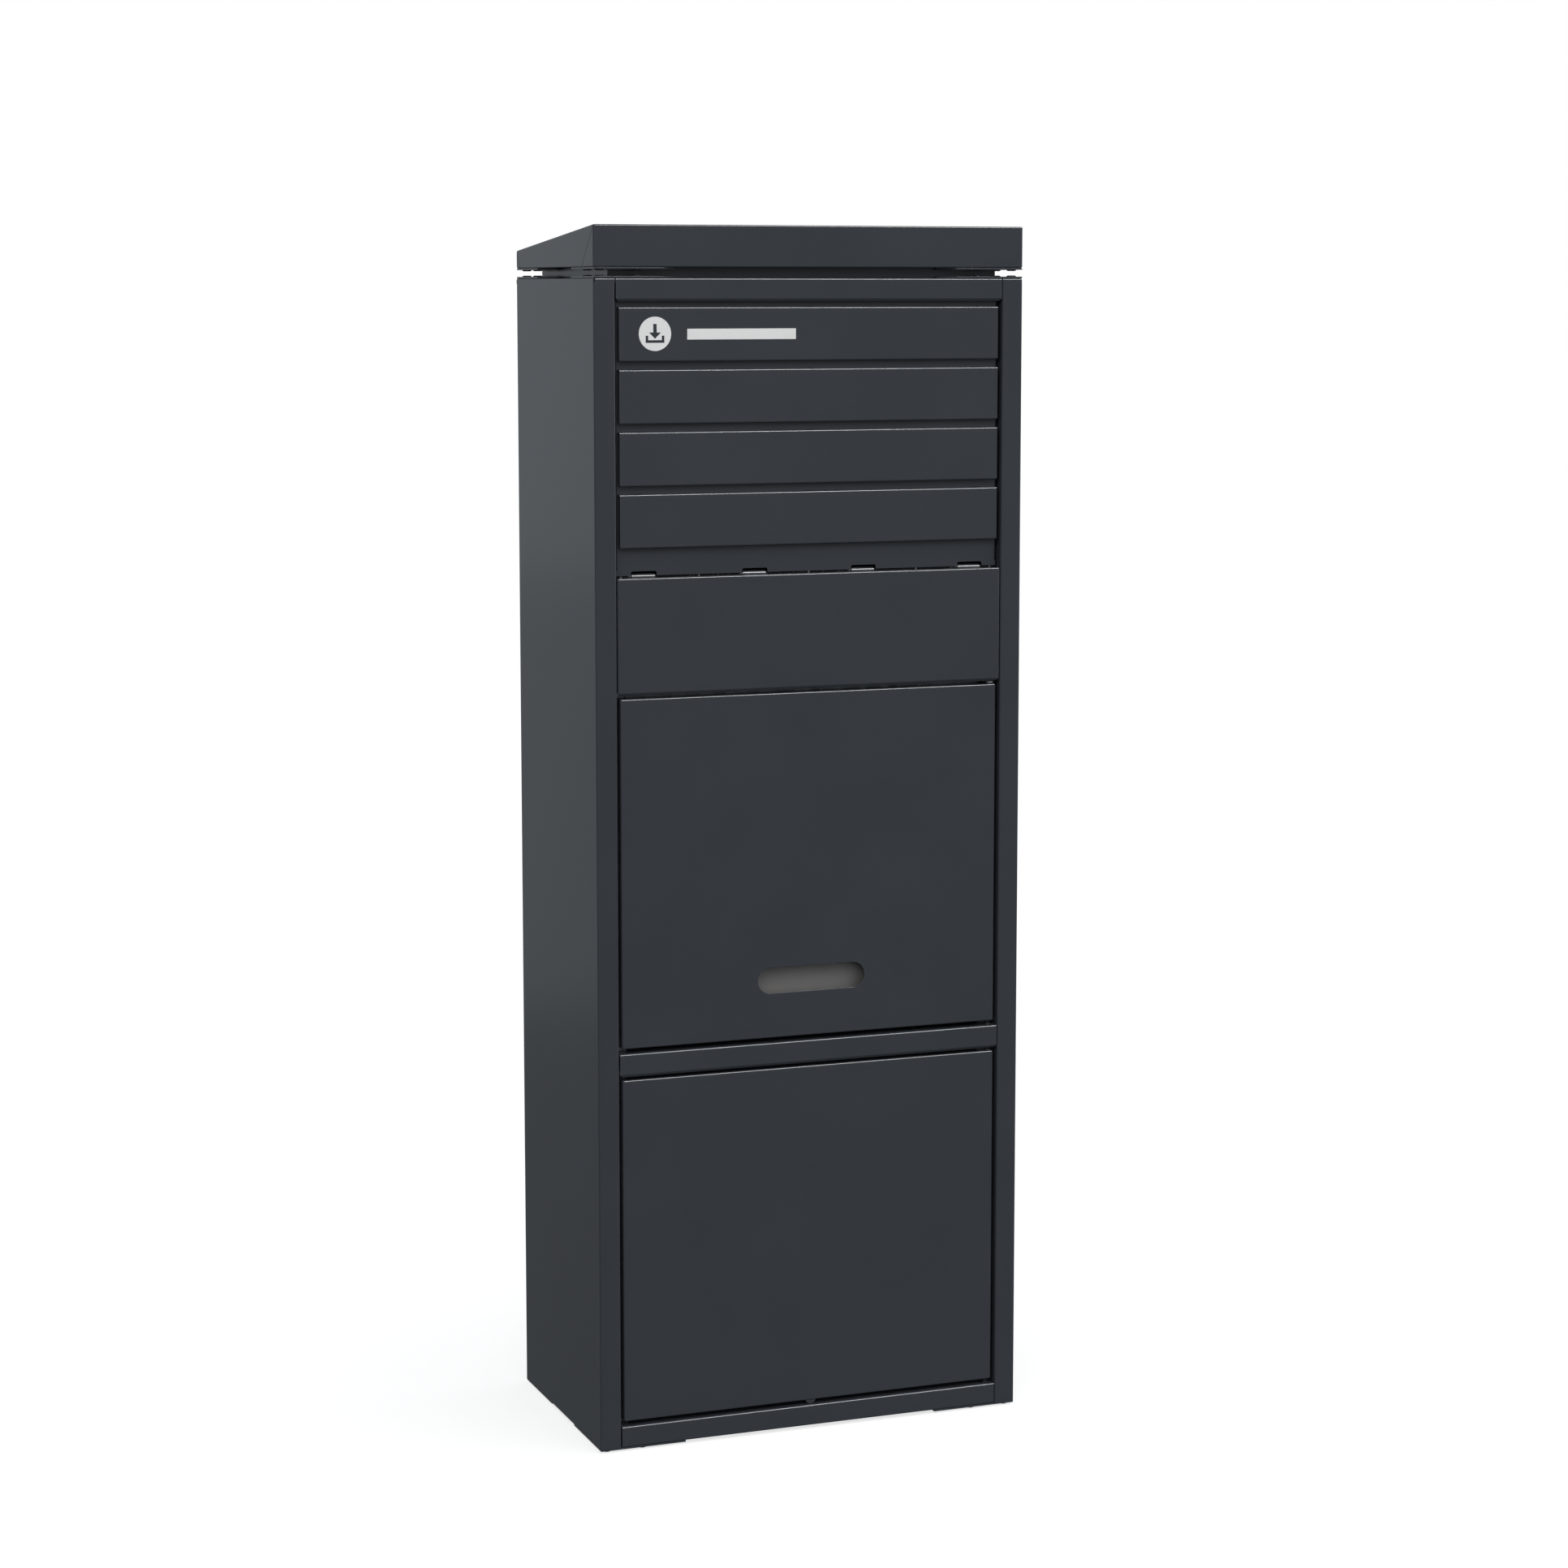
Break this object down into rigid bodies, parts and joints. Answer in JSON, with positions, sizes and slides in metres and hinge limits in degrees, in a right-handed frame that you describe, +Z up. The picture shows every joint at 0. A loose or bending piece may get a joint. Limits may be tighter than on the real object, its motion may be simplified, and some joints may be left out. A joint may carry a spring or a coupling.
{
  "type": "parcel locker",
  "caption": "Free-standing folded-steel parcel locker: slatted head, top-hung drop flap, pull-slot door above a plain locked door, raised sloping roof.",
  "frame": {"origin": "on the floor, under the middle of the cabinet", "axes": "+X to the right seen from the front, +Y to the back, +Z up"},
  "size_m": [0.52, 0.295, 1.3999],
  "materials": {
    "powder_coat": "anthracite fine-texture powder coat, satin",
    "galvanised_sheet": "galvanised steel sheet, fine spangle",
    "zinc_plated_steel": "bright zinc plating",
    "black_oxide_screws": "black zinc-flake coated screws and pins",
    "pocket_steel": "warm grey satin primer on steel",
    "epdm_rubber": "matt black EPDM",
    "moulded_nylon": "black glass-filled nylon",
    "battery_case": "blue-grey ABS case",
    "white_film": "light grey cut vinyl film"
  },
  "bodies": {
    "carcass": {"left_side_panel": "powder_coat", "right_side_panel": "powder_coat", "back_panel": "powder_coat", "base_pan": "galvanised_sheet", "top_panel": "galvanised_sheet", "top_rail": "powder_coat", "mid_rail": "powder_coat", "bottom_rail": "powder_coat", "head_panel": "powder_coat", "slat_1": "powder_coat", "slat_2": "powder_coat", "slat_3": "powder_coat", "slat_4": "powder_coat", "parcel_badge": "white_film", "name_strip": "white_film", "bay_floor": "galvanised_sheet", "mid_shelf": "galvanised_sheet", "stop_strip_left": "galvanised_sheet", "stop_strip_right": "galvanised_sheet", "drop_chute": "galvanised_sheet", "flap_buffers": "epdm_rubber", "flap_rod": "black_oxide_screws", "flap_rod_brackets": "galvanised_sheet", "hinge_pins": "black_oxide_screws", "hinge_washers": "black_oxide_screws", "top_hinge_bracket": "galvanised_sheet", "middle_lock_body": "moulded_nylon", "lower_lock_body": "moulded_nylon", "pusher_housing": "moulded_nylon", "controller_box": "moulded_nylon", "battery_pack": "battery_case", "lock_cable": "epdm_rubber", "cable_grommet": "epdm_rubber", "bottom_corner_plates": "powder_coat", "foot_screws": "black_oxide_screws", "top_corner_plates": "powder_coat", "roof_corner_plates": "powder_coat", "plate_screws": "black_oxide_screws", "neck_frame": "powder_coat", "roof_brackets": "galvanised_sheet", "roof_cap": "powder_coat", "rivets": "zinc_plated_steel"},
    "flap": {"flap_skin": "powder_coat", "flap_knuckles": "powder_coat"},
    "middle_door": {"middle_door_skin": "powder_coat", "middle_door_liner": "galvanised_sheet", "finger_cup": "pocket_steel", "middle_door_seal": "epdm_rubber", "middle_striker": "zinc_plated_steel", "middle_door_bushes": "moulded_nylon"},
    "lower_door": {"lower_door_skin": "powder_coat", "lower_door_liner": "galvanised_sheet", "lower_door_seal": "epdm_rubber", "lower_striker": "zinc_plated_steel", "lower_door_bushes": "moulded_nylon", "pull_tab": "powder_coat"},
    "middle_bolt": {"middle_lock_bolt": "zinc_plated_steel"},
    "lower_bolt": {"lower_lock_bolt": "zinc_plated_steel"},
    "pusher": {"pusher_plunger": "zinc_plated_steel"}
  },
  "joints": [
    {"name": "flap_hinge", "type": "hinge", "parent": "carcass", "child": "flap", "pos_m": [0, -0.132, 1.0073], "axis": [-1, 0, 0], "range_deg": [0, 50]},
    {"name": "middle_door_hinge", "type": "hinge", "parent": "carcass", "child": "middle_door", "pos_m": [0.225, -0.139, 0.671], "axis": [0, 0, 1], "range_deg": [0, 110]},
    {"name": "lower_door_hinge", "type": "hinge", "parent": "carcass", "child": "lower_door", "pos_m": [0.225, -0.139, 0.2345], "axis": [0, 0, 1], "range_deg": [0, 110]},
    {"name": "middle_bolt_slide", "type": "slide", "parent": "carcass", "child": "middle_bolt", "axis": [1, 0, 0], "range_m": [0, 0.011]},
    {"name": "lower_bolt_slide", "type": "slide", "parent": "carcass", "child": "lower_bolt", "axis": [1, 0, 0], "range_m": [0, 0.011]},
    {"name": "pusher_slide", "type": "slide", "parent": "carcass", "child": "pusher", "axis": [0, 1, 0], "range_m": [0, 0.006], "stiffness_N_per_m": 300, "springref_m": -0.004}
  ]
}
